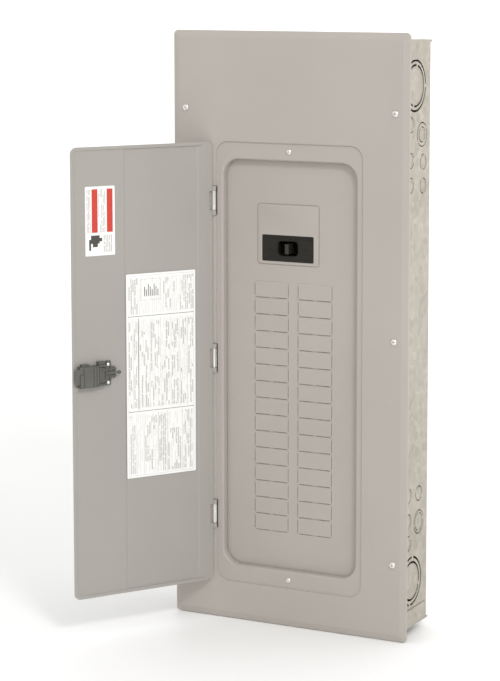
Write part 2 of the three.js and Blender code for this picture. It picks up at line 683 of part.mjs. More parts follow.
addNode('neutral_lug', buildNeutralLug(), aluminium);
addNode('neutral_lug_screw', barY(NEUTRAL.x, NEUTRAL.z1 + GAP + 17, 4.8, -58, -48, 10), zinc);
const bonding = { z: NEUTRAL.z0 + FIRST_TERMINAL, y: NEUTRAL.y0 - GAP };
addNode('bonding_screw', screw(-NEUTRAL.x, bonding.y, bonding.z, 2.2, 4.5, 5, 8), greenSteel);
addNode('ground_bar', buildGroundBar(), aluminium);
GROUND_SCREW_Z.forEach((z, i) => {
  const body = screw(GROUND.x, GROUND.y0 - GAP, z, 1.9, 9, 3.6, 8);
  addNode(`ground_bar_screw_${i + 1}`, body, zinc);
});

export default assembly;
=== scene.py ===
"""Looks of a load centre: painted sheet metal, galvanised box, door, latch, labels and breaker.

Lengths in this script are millimetres, and MM turns them into Blender's metres. Door pieces are
drawn with the door shut and then swung to the frame's rest pose about the hinge.
"""
import json
import math
import random

import bmesh
import bpy
from mathutils import Matrix, Vector


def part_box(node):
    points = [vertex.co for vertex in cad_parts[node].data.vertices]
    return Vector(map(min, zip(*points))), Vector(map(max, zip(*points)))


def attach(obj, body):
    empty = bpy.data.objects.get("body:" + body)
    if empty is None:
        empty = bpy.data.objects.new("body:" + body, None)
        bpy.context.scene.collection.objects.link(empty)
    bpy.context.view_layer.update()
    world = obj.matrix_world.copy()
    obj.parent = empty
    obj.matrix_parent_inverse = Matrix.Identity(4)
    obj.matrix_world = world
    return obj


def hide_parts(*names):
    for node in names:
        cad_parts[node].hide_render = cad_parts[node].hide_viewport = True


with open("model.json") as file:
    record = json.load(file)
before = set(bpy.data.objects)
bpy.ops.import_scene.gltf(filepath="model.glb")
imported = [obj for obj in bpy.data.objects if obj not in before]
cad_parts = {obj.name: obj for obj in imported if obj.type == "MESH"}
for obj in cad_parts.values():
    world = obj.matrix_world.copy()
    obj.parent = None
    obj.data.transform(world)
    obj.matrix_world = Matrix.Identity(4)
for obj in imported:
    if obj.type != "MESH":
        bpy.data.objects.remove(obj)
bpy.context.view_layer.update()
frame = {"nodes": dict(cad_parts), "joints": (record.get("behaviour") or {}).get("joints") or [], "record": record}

MM = 0.001


def node_box(name):
    """Lowest and highest corner of a CAD node in millimetres."""
    low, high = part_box(name)
    return [v / MM for v in low], [v / MM for v in high]


# ---- sizes taken from the frame ---------------------------------------------
COVER_LOW, COVER_HIGH = node_box("cover_trim")
BOX_LOW, BOX_HIGH = node_box("box_wrap")
FRONT = COVER_LOW[1]
BOX_FRONT = BOX_LOW[1]
COVER_W = COVER_HIGH[0] - COVER_LOW[0]
COVER_H = COVER_HIGH[2] - COVER_LOW[2]
DEAD_LOW, DEAD_HIGH = node_box("dead_front")
BOX_W = BOX_HIGH[0] - BOX_LOW[0]
BOX_H = 2 * node_box("top_end_wall")[1][2]
BOX_D = -BOX_FRONT
DISH_Z = (DEAD_LOW[2] + DEAD_HIGH[2]) / 2
HINGE = next(j for j in frame["joints"] if j["name"] == "door_hinge")
HINGE_X, HINGE_Y = HINGE["pos_m"][0] / MM, HINGE["pos_m"][1] / MM
DOOR_OPEN = -math.radians(HINGE["range_deg"][0])
THROW = next(j for j in frame["joints"] if j["name"] == "main_throw")

# ---- sizes of the pressed sheet ---------------------------------------------
SHEET = 1.2
SEAT = {"w": 242, "h": 671, "r": 20, "z": DISH_Z}
SEAT_DROP = 2.2
DISH = {"w": 219.5, "h": 618, "r": 25, "z": DISH_Z}
DISH_DROP = 14
DEAD_Y = FRONT + DISH_DROP
BEVEL = 10.8
BEVEL_DROP = 2.8
DOOR = {"length": 238, "h": 669, "r": 10, "edge": 3.5}
DOOR_OUT = HINGE_Y - SHEET / 2
DOOR_IN = HINGE_Y + SHEET / 2
LATCH_Z = -53
STRIKE = {"near": 4.4, "far": 9.7, "half": 12.5}
HINGE_WINDOW = {"w": 8, "h": 44.6, "r": 1.5, "aside": -0.2}
DIMPLE_X, DIMPLE_Z = 150.7, 385.7
KEYHOLE = {"x": 130, "z": 330, "head_r": 6}
COVER_SCREW_X = 171.5
BOX_SHEET = 1.5
BOX_FLANGE = 18.5
SHUT_TO_REST = (
    Matrix.Translation((HINGE_X * MM, HINGE_Y * MM, 0))
    @ Matrix.Rotation(-DOOR_OPEN, 4, "Z")
    @ Matrix.Translation((-HINGE_X * MM, -HINGE_Y * MM, 0))
)


# ---- node materials ----------------------------------------------------------
def new_material(name, color, roughness, metallic=0.0):
    material = bpy.data.materials.new(name)
    material.use_nodes = True
    shader = material.node_tree.nodes["Principled BSDF"]
    shader.inputs["Base Color"].default_value = (*color, 1)
    shader.inputs["Roughness"].default_value = roughness
    shader.inputs["Metallic"].default_value = metallic
    return material, shader


def node(material, kind, **values):
    made = material.node_tree.nodes.new(kind)
    for key, value in values.items():
        if key in made.inputs:
            made.inputs[key].default_value = value
        else:
            setattr(made, key, value)
    return made


def link(material, source, target):
    material.node_tree.links.new(source, target)


def object_coordinates(material):
    return node(material, "ShaderNodeTexCoord").outputs["Object"]


def noise(material, scale, detail=3.0, roughness=0.5):
    made = node(material, "ShaderNodeTexNoise")
    made.inputs["Scale"].default_value = scale
    made.inputs["Detail"].default_value = detail
    made.inputs["Roughness"].default_value = roughness
    link(material, object_coordinates(material), made.inputs["Vector"])
    return made.outputs["Fac"]


def spread(material, source, low, high, source_low=0.3, source_high=0.7):
    made = node(material, "ShaderNodeMapRange")
    made.inputs["From Min"].default_value = source_low
    made.inputs["From Max"].default_value = source_high
    made.inputs["To Min"].default_value = low
    made.inputs["To Max"].default_value = high
    link(material, source, made.inputs["Value"])
    return made.outputs["Result"]


def tint(material, shader, source, color, low, high):
    """Colours the surface between two shades of one colour, by a source from 0 to 1."""
    made = node(material, "ShaderNodeMix", data_type="RGBA")
    link(material, source, made.inputs[0])
    made.inputs[6].default_value = (*(c * low for c in color), 1)
    made.inputs[7].default_value = (*(c * high for c in color), 1)
    link(material, made.outputs[2], shader.inputs["Base Color"])


def gloss(material, shader, source, low, high, *source_range):
    """Lets the roughness follow a source."""
    link(material, spread(material, source, low, high, *source_range), shader.inputs["Roughness"])


def bump(material, shader, height, strength, distance_mm):
    made = node(material, "ShaderNodeBump")
    made.inputs["Strength"].default_value = strength
    made.inputs["Distance"].default_value = distance_mm * MM
    link(material, height, made.inputs["Height"])
    link(material, made.outputs["Normal"], shader.inputs["Normal"])


def painted_metal(name, color):
    """Powder coat: a fine orange peel, faint cloudiness and a satin gloss that varies a little."""
    material, shader = new_material(name, color, 0.45)
    cloud = spread(material, noise(material, 7, 2), 0, 1)
    tint(material, shader, cloud, color, 0.975, 1.02)
    gloss(material, shader, noise(material, 160, 2), 0.40, 0.50)
    bump(material, shader, noise(material, 900, 2), 0.10, 0.08)
    return material


def galvanised_steel(name, color):
    """Zinc spangle: each crystal has its own tone and gloss, over soft drips and handling marks."""
    material, shader = new_material(name, color, 0.45, 0.62)
    spangle = node(material, "ShaderNodeTexVoronoi")
    spangle.inputs["Scale"].default_value = 95
    link(material, object_coordinates(material), spangle.inputs["Vector"])
    crystal = node(material, "ShaderNodeSeparateColor")
    link(material, spangle.outputs["Color"], crystal.inputs["Color"])
    drips = spread(material, noise(material, 22, 4, 0.6), 0, 1)
    blend = node(material, "ShaderNodeMath", operation="MULTIPLY_ADD")
    link(material, crystal.outputs["Red"], blend.inputs[0])
    blend.inputs[1].default_value = 0.45
    half = spread(material, drips, 0, 0.55, 0, 1)
    link(material, half, blend.inputs[2])
    tint(material, shader, blend.outputs[0], color, 0.80, 1.14)
    gloss(material, shader, crystal.outputs["Green"], 0.34, 0.56, 0, 1)
    bump(material, shader, noise(material, 420, 3), 0.12, 0.05)
    return material


def plated_metal(name, color, roughness):
    """Bright plating with fine draw marks."""
    material, shader = new_material(name, color, roughness, 1.0)
    marks = noise(material, 1300, 2)
    gloss(material, shader, marks, roughness - 0.05, roughness + 0.1)
    tint(material, shader, spread(material, noise(material, 300, 2), 0, 1), color, 0.93, 1.03)
    bump(material, shader, marks, 0.08, 0.03)
    return material


def moulded_plastic(name, color, roughness, grain, specular=0.4):
    """Moulded plastic with a fine spark-eroded grain."""
    material, shader = new_material(name, color, roughness)
    shader.inputs["Specular IOR Level"].default_value = specular
    texture = noise(material, grain, 3, 0.6)
    tint(material, shader, spread(material, noise(material, 60, 3), 0, 1), color, 0.86, 1.12)
    gloss(material, shader, texture, roughness - 0.06, roughness + 0.1)
    bump(material, shader, texture, 0.18, 0.06)
    return material


def label_stock(name, color):
    """Coated paper with a faint fibre."""
    material, shader = new_material(name, color, 0.5)
    fibre = noise(material, 700, 4, 0.7)
    tint(material, shader, spread(material, fibre, 0, 1), color, 0.96, 1)
    bump(material, shader, fibre, 0.05, 0.02)
    return material


def printing_ink(name, color):
    material, shader = new_material(name, color, 0.55)
    tint(material, shader, spread(material, noise(material, 900, 2), 0, 1), color, 0.92, 1.06)
    return material


PAINT = painted_metal("grey_powder_coat", (0.394, 0.360, 0.325))
# The door's coat is the cover's powder coat made darker and a little greener. The darkness is painted shade for
# the door's inner face, which is turned away from the light.
SHADED_DOOR_PAINT = painted_metal("door_powder_coat_painted_shade", (0.342, 0.324, 0.296))
GALVANISED = galvanised_steel("galvanised_steel", (0.40, 0.368, 0.312))
ZINC = plated_metal("bright_zinc", (0.82, 0.80, 0.76), 0.24)
ALUMINIUM = plated_metal("mill_aluminium", (0.77, 0.78, 0.79), 0.34)
BLACK = moulded_plastic("black_phenolic", (0.016, 0.0135, 0.0105), 0.30, 900, 0.22)
BLACK_GLOSS = moulded_plastic("black_gloss", (0.018, 0.015, 0.012), 0.14, 900, 0.5)
NYLON = moulded_plastic("grey_nylon", (0.105, 0.104, 0.090), 0.46, 800)
PAPER = label_stock("label_paper", (0.86, 0.855, 0.835))
INK = printing_ink("grey_ink", (0.50, 0.485, 0.46))
PALE_INK = printing_ink("pale_ink", (0.74, 0.725, 0.70))
DARK_INK = printing_ink("dark_ink", (0.06, 0.055, 0.05))
RED_INK = printing_ink("red_ink", (0.56, 0.045, 0.028))
GREEN = plated_metal("green_screw", (0.05, 0.30, 0.12), 0.35)


# ---- mesh helpers --------------------------------------------------------------
def mesh_object(name, vertices, faces, material):
    """A mesh from points in millimetres, shaded smooth up to 35 degrees."""
    mesh = bpy.data.meshes.new(name)
    mesh.from_pydata([Vector(v) * MM for v in vertices], [], faces)
    form = bmesh.new()
    form.from_mesh(mesh)
    bmesh.ops.remove_doubles(form, verts=form.verts, dist=1e-6)
    bmesh.ops.recalc_face_normals(form, faces=form.faces)
    form.to_mesh(mesh)
    form.free()
    made = bpy.data.objects.new(name, mesh)
    bpy.context.scene.collection.objects.link(made)
    mesh.materials.append(material)
    smooth(made, 35)
    return made


def smooth(made, degrees):
    made.data.shade_smooth()
    made.data.set_sharp_from_angle(angle=math.radians(degrees))


def soften(made, width_mm, segments=2, angle_deg=30):
    """Rounds the edges a little, as folding, moulding or tumbling does."""
    bevel = made.modifiers.new("soft_edges", "BEVEL")
    bevel.width = width_mm * MM
    bevel.segments = segments
    bevel.limit_method = "ANGLE"
    bevel.angle_limit = math.radians(angle_deg)
    bevel.harden_normals = True
    bevel.use_clamp_overlap = True


def settle_normals(made):
    """Weights the normals by face area, so that flat faces shade flat up to their edges."""
    step = made.modifiers.new("settled_normals", "WEIGHTED_NORMAL")
    step.weight = 100
    step.keep_sharp = True


def apply_modifiers(made):
    """Bakes the modifiers into the mesh."""
    graph = bpy.context.evaluated_depsgraph_get()
    mesh = bpy.data.meshes.new_from_object(made.evaluated_get(graph))
    made.modifiers.clear()
    made.data = mesh


def remove(made):
    bpy.data.objects.remove(made, do_unlink=True)


def boolean(made, other, operation):
    step = made.modifiers.new("boolean", "BOOLEAN")
    step.operation = operation
    step.solver = "MANIFOLD"
    step.object = other
    bpy.context.view_layer.update()
    apply_modifiers(made)
    remove(other)


def joined(name, objects):
    """One object of several meshes, in place."""
    form = bmesh.new()
    for item in objects:
        form.from_mesh(item.data)
    mesh = bpy.data.meshes.new(name)
    form.to_mesh(mesh)
    form.free()
    made = bpy.data.objects.new(name, mesh)
    bpy.context.scene.collection.objects.link(made)
    mesh.materials.append(objects[0].data.materials[0])
    for item in objects:
        remove(item)
    return made


def block(x0, x1, y0, y1, z0, z1, material=PAINT):
    corners = [(x, y, z) for x in (x0, x1) for y in (y0, y1) for z in (z0, z1)]
    faces = [(0, 1, 3, 2), (4, 6, 7, 5), (0, 4, 5, 1), (2, 3, 7, 6), (0, 2, 6, 4), (1, 5, 7, 3)]
    return mesh_object("block", corners, faces, material)


def rounded_rect(w, h, r, cx, cz, steps):
    """[x, z] points of a rounded rectangle, anticlockwise seen from the front."""
    points = []
    for sx, sz, start in ((1, -1, -90), (1, 1, 0), (-1, 1, 90), (-1, -1, 180)):
        for i in range(steps + 1):
            angle = math.radians(start + 90 * i / steps)
            x = cx + sx * (w / 2 - r) + r * math.cos(angle)
            z = cz + sz * (h / 2 - r) + r * math.sin(angle)
            points.append((x, z))
    return points


def mirrored(points):
    """The points on the other side of x = 0, in the order that carries an outline on."""
    return [(-x, other) for x, other in reversed(points)]


def between(low, high, name, material):
    """A solid between two like outlines."""
    count = len(low)
    faces = [tuple(range(count)), tuple(range(2 * count - 1, count - 1, -1))]
    for i in range(count):
        j = (i + 1) % count
        faces.append((i, count + i, count + j, j))
    return mesh_object(name, low + high, faces, material)


def prism_y(points, y0, y1, name="prism", material=PAINT):
    """An outline of [x, z] points drawn from y0 to y1."""
    low, high = ([(x, y, z) for x, z in points] for y in (y0, y1))
    return between(low, high, name, material)


def prism_z(points, z0, z1, name="prism", material=PAINT):
    """An outline of [x, y] points drawn from z0 to z1."""
    low, high = ([(x, y, z) for x, y in points] for z in (z0, z1))
    return between(low, high, name, material)


def ring_faces(rings, count, closed=False):
    """Faces between successive rings of count points; closed joins the last ring to the first."""
    faces = []
    for a in range(rings if closed else rings - 1):
        b = (a + 1) % rings
        for i in range(count):
            j = (i + 1) % count
            faces.append((a * count + i, a * count + j, b * count + j, b * count + i))
    return faces


def turned(profile, axis, name, material, steps):
    """A profile of [radius, distance] points turned about the X, Y or Z axis."""
    vertices = []
    for radius, along in profile:
        for i in range(steps):
            angle = 2 * math.pi * i / steps
            u, v = radius * math.cos(angle), radius * math.sin(angle)
            vertices.append({"X": (along, u, v), "Y": (u, along, v), "Z": (u, v, along)}[axis])
    faces = ring_faces(len(profile), steps)
    last = (len(profile) - 1) * steps
    faces.append(tuple(range(steps)))
    faces.append(tuple(range(last, last + steps)))
    return mesh_object(name, vertices, faces, material)


def moved(made, x, y, z):
    """Shifts the mesh itself, in millimetres."""
    made.data.transform(Matrix.Translation((x * MM, y * MM, z * MM)))
    return made


def recoat(made, material):
    """Gives the whole mesh one material."""
    made.data.materials.clear()
    made.data.materials.append(material)


def finish_piece(made, name, body, nodes=()):
    """Names a piece, swings it with the door if it rides there and ties it to its CAD body."""
    made.name = name
    made.data.name = name
    if body in ("door", "latch_bolt"):
        made.data.transform(SHUT_TO_REST)
    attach(made, body)
    if nodes:
        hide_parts(*nodes)


# ---- cover -------------------------------------------------------------------------
def grown(base, by, y):
    """A loop of the cover's section: the base outline grown all round, at depth y."""
    return {"w": base["w"] + 2 * by, "h": base["h"] + 2 * by, "r": base["r"] + by,
            "z": base["z"], "y": y}


def rounding(base, start, end, steps=4):
    """Loops round an edge, from (growth, y) to (growth, y), bulging out of the corner between
    them: the corner has the first point's y and the second point's growth."""
    loops = []
    for i in range(steps + 1):
        angle = math.pi / 2 * i / steps
        by = start[0] + (end[0] - start[0]) * math.sin(angle)
        y = start[1] + (end[1] - start[1]) * (1 - math.cos(angle))
        loops.append(grown(base, by, y))
    return loops


def pressed_frame(name, loops, material, steps=12):
    """Sheet round an opening, from rounded loops that run round its section and close on it."""
    rings = []
    for loop in loops:
        outline = rounded_rect(loop["w"], loop["h"], loop["r"], 0, loop["z"], steps)
        rings.append([(x, loop["y"], z) for x, z in outline])
    count = len(rings[0])
    vertices = [point for ring in rings for point in ring]
    return mesh_object(name, vertices, ring_faces(len(rings), count, closed=True), material)


def cover_section():
    """Loops of the cover's sheet from the lip's back edge over the face and back inside."""
    rim = {"w": COVER_W, "h": COVER_H, "r": 7, "z": 0}
    plane = {"w": COVER_W - 2 * BEVEL, "h": COVER_H - 2 * BEVEL, "r": 3, "z": 0}
    floor = FRONT + SEAT_DROP
    foot = DEAD_Y - 1.3
    shoulder = FRONT + BEVEL_DROP
    return [
        grown(rim, 0, BOX_FRONT),
        grown(rim, 0, shoulder + 1.2),
        grown(rim, -0.35, shoulder + 0.35),
        grown(rim, -1.2, shoulder - 0.25),
        grown(plane, 1.6, FRONT + 0.32),
        grown(plane, 0.6, FRONT + 0.06),
        grown(plane, -0.6, FRONT),
        grown(SEAT, 0.4, FRONT),
        grown(SEAT, 0.1, FRONT + 0.12),
        grown(SEAT, -0.2, floor - 0.15),
        grown(SEAT, -0.5, floor),
        *rounding(DISH, (3.2, floor), (0, floor + 3.2), 6),
        grown(DISH, -0.3, foot - 1.5),
        grown(DISH, -0.3, foot),
        grown(DISH, SHEET - 0.3, foot),
        grown(DISH, SHEET, floor + 3.2),
        grown(DISH, 3.2, floor + SHEET),
        grown(SEAT, 0.3, floor + SHEET),
        grown(SEAT, 1.2, FRONT + SHEET),
        grown(plane, -0.3, FRONT + SHEET),
        grown(rim, -SHEET, shoulder + 0.9),
        grown(rim, -SHEET, BOX_FRONT),
    ]


def hinge_heights():
    boxes = [node_box(f"hinge_pin_{i}") for i in (1, 2, 3)]
    return [(low[2] + high[2]) / 2 for low, high in boxes]


def make_cover():
    cover = pressed_frame("cover", cover_section(), PAINT, 12)
    cutters = []
    for z in hinge_heights():
        outline = rounded_rect(HINGE_WINDOW["w"], HINGE_WINDOW["h"], HINGE_WINDOW["r"],
                               HINGE_X + HINGE_WINDOW["aside"], z, 3)
        cutters.append(prism_y(outline, FRONT - 3, FRONT + 8))
    wall = DISH["w"] / 2
    cutters.append(block(wall - 3, wall + 6, FRONT + STRIKE["near"], FRONT + STRIKE["far"],
                         LATCH_Z - STRIKE["half"], LATCH_Z + STRIKE["half"]))
    dimple = turned([(3.4, -1), (3.4, -0.2), (2.4, 0.12), (0.05, 0.2)], "Y", "dimple", PAINT, 20)
    cutters.append(moved(dimple, DIMPLE_X, FRONT, DIMPLE_Z))
    boolean(cover, joined("cover_cuts", cutters), "DIFFERENCE")
    smooth(cover, 24)
    settle_normals(cover)
    finish_piece(cover, "cover_shell", "enclosure", ["cover_trim"])


# ---- dead front ---------------------------------------------------------------------
TAB = {"w": 56.2, "h": 23.9, "top": 74.2, "pitch": 25.4, "rows": 15, "columns": (-34.3, 37.7)}
TAB_RISE = 0.6
SLOT = 0.9
SQUARE = {"w": 99.5, "h": 88.3, "r": 3.5, "z": 145.65}
SQUARE_X = -6.5
WINDOW = {"x": -7, "w": 85.4, "z0": 105.2, "z1": 144.7}


def rounded_form(name, size, place, loops, steps, closed=False):
    """A form of rounded outlines on the dead front: loops of (growth, depth), capped at both ends
    or closed into a ring."""
    w, h, r = size
    vertices = []
    for by, y in loops:
        outline = rounded_rect(w + 2 * by, h + 2 * by, r + by, *place, steps)
        vertices += [(x, DEAD_Y + y, z) for x, z in outline]
    count = len(vertices) // len(loops)
    faces = ring_faces(len(loops), count, closed)
    if not closed:
        last = (len(loops) - 1) * count
        faces += [tuple(range(count)), tuple(range(last, last + count))]
    return mesh_object(name, vertices, faces, PAINT)


def tab_pad(cx, top):
    """One breaker tab, standing a little proud with its edges eased."""
    loops = [(0, 0.4), (0, -TAB_RISE + 0.15), (-0.25, -TAB_RISE)]
    return rounded_form("tab", (TAB["w"], TAB["h"], 0.8), (cx, top - TAB["h"] / 2), loops, 2)


def tab_slots(cx, top):
    """Sheared lines at the left and the foot of one breaker tab, left open at its ties."""
    left, right = cx - TAB["w"] / 2, cx + TAB["w"] / 2
    bottom = top - TAB["h"]
    y = (DEAD_Y - 3, DEAD_Y + SHEET + 1)
    lines = [
        (left + 2.5, cx - 3, bottom - SLOT * 0.8, bottom + 0.1),
        (cx + 3, right - 2.5, bottom - SLOT * 0.8, bottom + 0.1),
        (left - 0.1, left + SLOT, bottom + 2, top - 3.5),
        (right - SLOT * 0.5, right + 0.1, bottom + 2, top - 3.5),
    ]
    return [block(x0, x1, *y, z0, z1) for x0, x1, z0, z1 in lines]


def raised_square():
    """The main breaker's raised surround, with rolled edges."""
    size = (SQUARE["w"], SQUARE["h"], SQUARE["r"])
    loops = [(0.7, 0.4), (0.5, 0.05), (0.2, -0.85), (-0.25, -1.0)]
    return rounded_form("square", size, (SQUARE_X, SQUARE["z"]), loops, 5)


def square_groove():
    """The fine formed line round the raised surround."""
    edge, wide, deep = 0.7, 1.1, 0.7
    size = (SQUARE["w"] + 2 * edge, SQUARE["h"] + 2 * edge, SQUARE["r"] + edge)
    loops = [(wide, -1), (wide, deep * 0.4), (0.5, deep), (0.05, deep), (0.05, -1)]
    return rounded_form("groove", size, (SQUARE_X, SQUARE["z"]), loops, 5, closed=True)


def make_dead_front():
    w, h = DEAD_HIGH[0] - DEAD_LOW[0], DEAD_HIGH[2] - DEAD_LOW[2]
    plate = prism_y(rounded_rect(w, h, 8, 0, DISH_Z, 5), DEAD_Y, DEAD_Y + SHEET, "plate")
    pads = [tab_pad(cx, TAB["top"] - row * TAB["pitch"])
            for cx in TAB["columns"] for row in range(TAB["rows"])]
    boolean(plate, joined("raised", [raised_square(), *pads]), "UNION")
    outline = rounded_rect(
        WINDOW["w"], WINDOW["z1"] - WINDOW["z0"], 1.6,
        WINDOW["x"], (WINDOW["z0"] + WINDOW["z1"]) / 2, 3)
    cutters = [prism_y(outline, DEAD_Y - 4, DEAD_Y + 4), square_groove()]
    for cx in TAB["columns"]:
        for row in range(TAB["rows"]):
            cutters += tab_slots(cx, TAB["top"] - row * TAB["pitch"])
    boolean(plate, joined("tab_cuts", cutters), "DIFFERENCE")
    smooth(plate, 20)
    soften(plate, 0.12, 2, 40)
    finish_piece(plate, "dead_front_plate", "enclosure", ["dead_front"])


# ---- galvanised box --------------------------------------------------------------------
# Knockouts of a side wall: distance in front of the back face, height, radii of its rings.
SIDE_KNOCKOUTS = [
    (56.6, 369.3, (37, 30)), (30.8, 297.3, (17.5, 11.1)), (26, 256.8, (11.1,)),
    (26, 221.8, (11.1,)),
    (71.5, 313, (11.1,)), (71.5, 261.3, (11.1,)), (71.5, 225.3, (11.1,)),
    (71.6, -233.7, (11.1,)), (71.6, -272.7, (11.1,)), (32.6, -237, (11.1,)),
    (32.8, -280, (17.5, 13.5)), (71.6, -306, (11.1,)), (58.6, -364.9, (36, 28.5)),
]
END_KNOCKOUTS = [
    (0, -56, (36, 26)), (-104, -62, (17.5, 11.1)), (104, -62, (17.5, 11.1)),
    (-150, -62, (14.2,)), (150, -62, (14.2,)), (-62, -40, (11.1,)), (62, -40, (11.1,)),
]
GROOVE = 1.6
GROOVE_DEPTH = 2.4
TIES = 2


def arc_slot(radius, width, start_deg, end_deg, depth, steps):
    """A curved groove: points (u, v, d) of a bent box and its faces."""
    vertices, faces = [], []
    for i in range(steps + 1):
        angle = math.radians(start_deg + (end_deg - start_deg) * i / steps)
        for r in (radius - width / 2, radius + width / 2):
            for d in (-depth, depth):
                vertices.append((r * math.cos(angle), r * math.sin(angle), d))
    for i in range(steps):
        a, b = 4 * i, 4 * (i + 1)
        faces += [(a, b, b + 1, a + 1), (a + 2, a + 3, b + 3, b + 2),
                  (a, a + 2, b + 2, b), (a + 1, b + 1, b + 3, a + 3)]
    end = 4 * steps
    faces += [(0, 1, 3, 2), (end, end + 2, end + 3, end + 1)]
    return vertices, faces


def knockout_cutters(place, radii, turn):
    """Grooves of one knockout, with ties left between them. place turns (u, v, d) into a point."""
    cutters = []
    arc = 360 / TIES
    for ring, radius in enumerate(radii):
        first = turn + 80 * ring
        half_tie = 150 / radius
        width = GROOVE if radius < 20 else 2 * GROOVE
        steps = 6 if radius < 15 else 12
        for k in range(TIES):
            start = first + arc * k + half_tie
            end = first + arc * (k + 1) - half_tie
            vertices, faces = arc_slot(radius, width, start, end, GROOVE_DEPTH, steps)
            points = [place(u, v, d) for u, v, d in vertices]
            cutters.append(mesh_object("groove", points, faces, GALVANISED))
    return cutters


def knockout_disc(place, radii):
    """A shallow dish inside the inner groove, as a pressed slug has."""
    inner = radii[-1] - 2.6
    steps = 24
    vertices = []
    for d, r in ((-0.5, inner - 0.8), (0.8, inner + 0.5)):
        for i in range(steps):
            angle = 2 * math.pi * i / steps
            vertices.append(place(r * math.cos(angle), r * math.sin(angle), d))
    faces = [tuple(range(steps)), tuple(range(2 * steps - 1, steps - 1, -1)), *ring_faces(2, steps)]
    return mesh_object("slug", vertices, faces, GALVANISED)


def cut_knockouts(made, knockouts, turn, step):
    """Cuts knockouts given as (place, radii), each turned a step on from the last."""
    cutters = []
    for place, radii in knockouts:
        turn += step
        cutters += knockout_cutters(place, radii, turn)
        cutters.append(knockout_disc(place, radii))
    boolean(made, joined("knockouts", cutters), "DIFFERENCE")


def side_place(side, front, height):
    """Puts a knockout's (u, v) in a side wall and its d out of the wall."""
    return lambda u, v, d: (side * (BOX_W / 2 + d), -front + side * u, height + v)


def end_place(end, x, y):
    """Puts a knockout's (u, v) in an end wall and its d out of the wall."""
    return lambda u, v, d: (x + u, y + end * v, end * (BOX_H / 2 + d))


def make_box_wrap():
    hw, t = BOX_W / 2, BOX_SHEET
    flange = hw - BOX_FLANGE
    bend = 1.8
    lip = [(-hw + bend, -BOX_D), (-flange, -BOX_D), (-flange, -BOX_D + t), (-hw + t, -BOX_D + t),
           (-hw + t, -t)]
    web = [(hw - 0.5, -BOX_D + 0.5), (hw, -BOX_D + bend), (hw, -bend), (hw - 0.5, -0.5),
           (hw - bend, 0)]
    section = lip + mirrored(lip) + web + mirrored(web)
    wrap = prism_z(section, BOX_LOW[2], BOX_HIGH[2], "wrap", GALVANISED)
    cut_knockouts(wrap, [(side_place(side, front, height), radii) for side in (-1, 1)
                         for front, height, radii in SIDE_KNOCKOUTS], 20, 37)
    holes, slots = [], []
    head_r = KEYHOLE["head_r"]
    for side in (-1, 1):
        x = side * KEYHOLE["x"]
        for z in (-KEYHOLE["z"], KEYHOLE["z"]):
            head = turned([(head_r, -4), (head_r, 2)], "Y", "head", GALVANISED, 24)
            holes.append(moved(head, x, 0, z))
            slots.append(prism_y(rounded_rect(6, 20, 2.9, x, z + 8, 4), -4, 2))
        for i in (1, 2, 3):
            low, high = node_box(f"cover_screw_{i}")
            hole = turned([(3, -4), (3, 4)], "Y", "hole", GALVANISED, 16)
            holes.append(moved(hole, side * COVER_SCREW_X, -BOX_D, (low[2] + high[2]) / 2))
    boolean(wrap, joined("holes", holes), "DIFFERENCE")
    boolean(wrap, joined("slots", slots), "DIFFERENCE")
    smooth(wrap, 32)
    settle_normals(wrap)
    finish_piece(wrap, "box_sides_and_back", "enclosure", ["box_wrap"])


def make_end_wall(end, name):
    """An end wall that wraps on to the side walls: end is 1 for the top, -1 for the bottom."""
    t, outer = BOX_SHEET, BOX_H / 2
    hw = node_box(name)[1][0]
    bend, wrap = 2.2, 28
    outside = [(hw - bend, outer), (hw - 0.65, outer - 0.65), (hw, outer - bend),
               (hw, outer - wrap)]
    inside = [(hw - t, outer - wrap), (hw - t, outer - bend), (hw - bend, outer - t)]
    outline = mirrored(outside) + outside + inside + mirrored(inside)
    if end < 0:
        outline = [(x, -z) for x, z in reversed(outline)]
    wall = prism_y(outline, -BOX_D, 0, "end", GALVANISED)
    inner_z, outer_z = sorted((end * (outer - 40), end * (outer - bend - 1.5)))
    backs = []
    for side in (-1, 1):
        x0, x1 = sorted((side * (hw - t - 0.2), side * (hw + 1)))
        backs.append(block(x0, x1, -7, 2, inner_z, outer_z, GALVANISED))
    boolean(wall, joined("backs", backs), "DIFFERENCE")
    z0, z1 = sorted((end * (outer - BOX_FLANGE), end * (outer - t * 0.6)))
    half = hw - BOX_FLANGE - 4
    wings = [block(-half, half, -BOX_D, -BOX_D + t, z0, z1, GALVANISED),
             block(-hw + 6, hw - 6, -2 * t - 0.3, -t - 0.3, z0, z1, GALVANISED)]
    boolean(wall, joined("wings", wings), "UNION")
    cut_knockouts(wall, [(end_place(end, x, y), radii) for x, y, radii in END_KNOCKOUTS], 10, 41)
    smooth(wall, 32)
    settle_normals(wall)
    finish_piece(wall, f"{name}_panel", "enclosure", [name])


# ---- screws and hinges ---------------------------------------------------------------------
def screw_mesh(shank_r, length, head_r, head_height):
    """A pan head screw along +Y with its seat at 0, a domed head and a cross and slot recess."""
    profile = [(0.05, -head_height)]
    for i in range(1, 7):
        angle = math.pi / 2 * i / 6
        profile.append((head_r * math.sin(angle) ** 0.8, -head_height * math.cos(angle) ** 0.8
                        if i < 6 else -head_height * 0.12))
    profile += [(head_r, 0), (shank_r, 0), (shank_r, length - shank_r), (shank_r * 0.4, length)]
    screw = turned(profile, "Y", "screw", ZINC, 28)
    slot_w = head_r * 0.2
    top = -head_height - 1
    boolean(screw, block(-head_r * 1.1, head_r * 1.1, top, -head_height * 0.5,
                         -slot_w / 2, slot_w / 2), "DIFFERENCE")
    boolean(screw, block(-slot_w / 2, slot_w / 2, top, -head_height * 0.42,
                         -head_r * 0.5, head_r * 0.5), "DIFFERENCE")
    smooth(screw, 40)
    return screw


